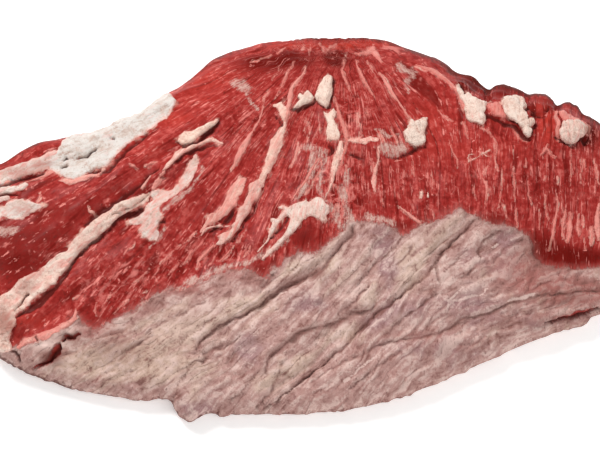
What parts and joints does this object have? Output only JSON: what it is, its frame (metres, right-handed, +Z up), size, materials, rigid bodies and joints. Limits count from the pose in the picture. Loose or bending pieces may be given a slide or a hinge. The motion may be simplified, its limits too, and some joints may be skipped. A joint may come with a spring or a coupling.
{
  "type": "raw beef sirloin flap",
  "caption": "Whole raw beef flap: one long, low slab of coarse-grained red meat with white fat seams and lumps, its front third under pale folded silverskin.",
  "frame": {"origin": "under the middle of the slab's box, on the surface that it rests on", "axes": "+X along the slab's length, +Y from the silverskin's front edge to the bare back edge, +Z up from the surface"},
  "size_m": [0.3772, 0.2386, 0.0479],
  "materials": {
    "meat": "moist coarse muscle grain with white fat seams and pale pinkish-grey silverskin, semi-gloss",
    "fat": "soft white to pale pink fat, lumpy and ragged, slightly waxy"
  },
  "bodies": {
    "root": {"sirloin_flap": "meat"}
  },
  "joints": []
}
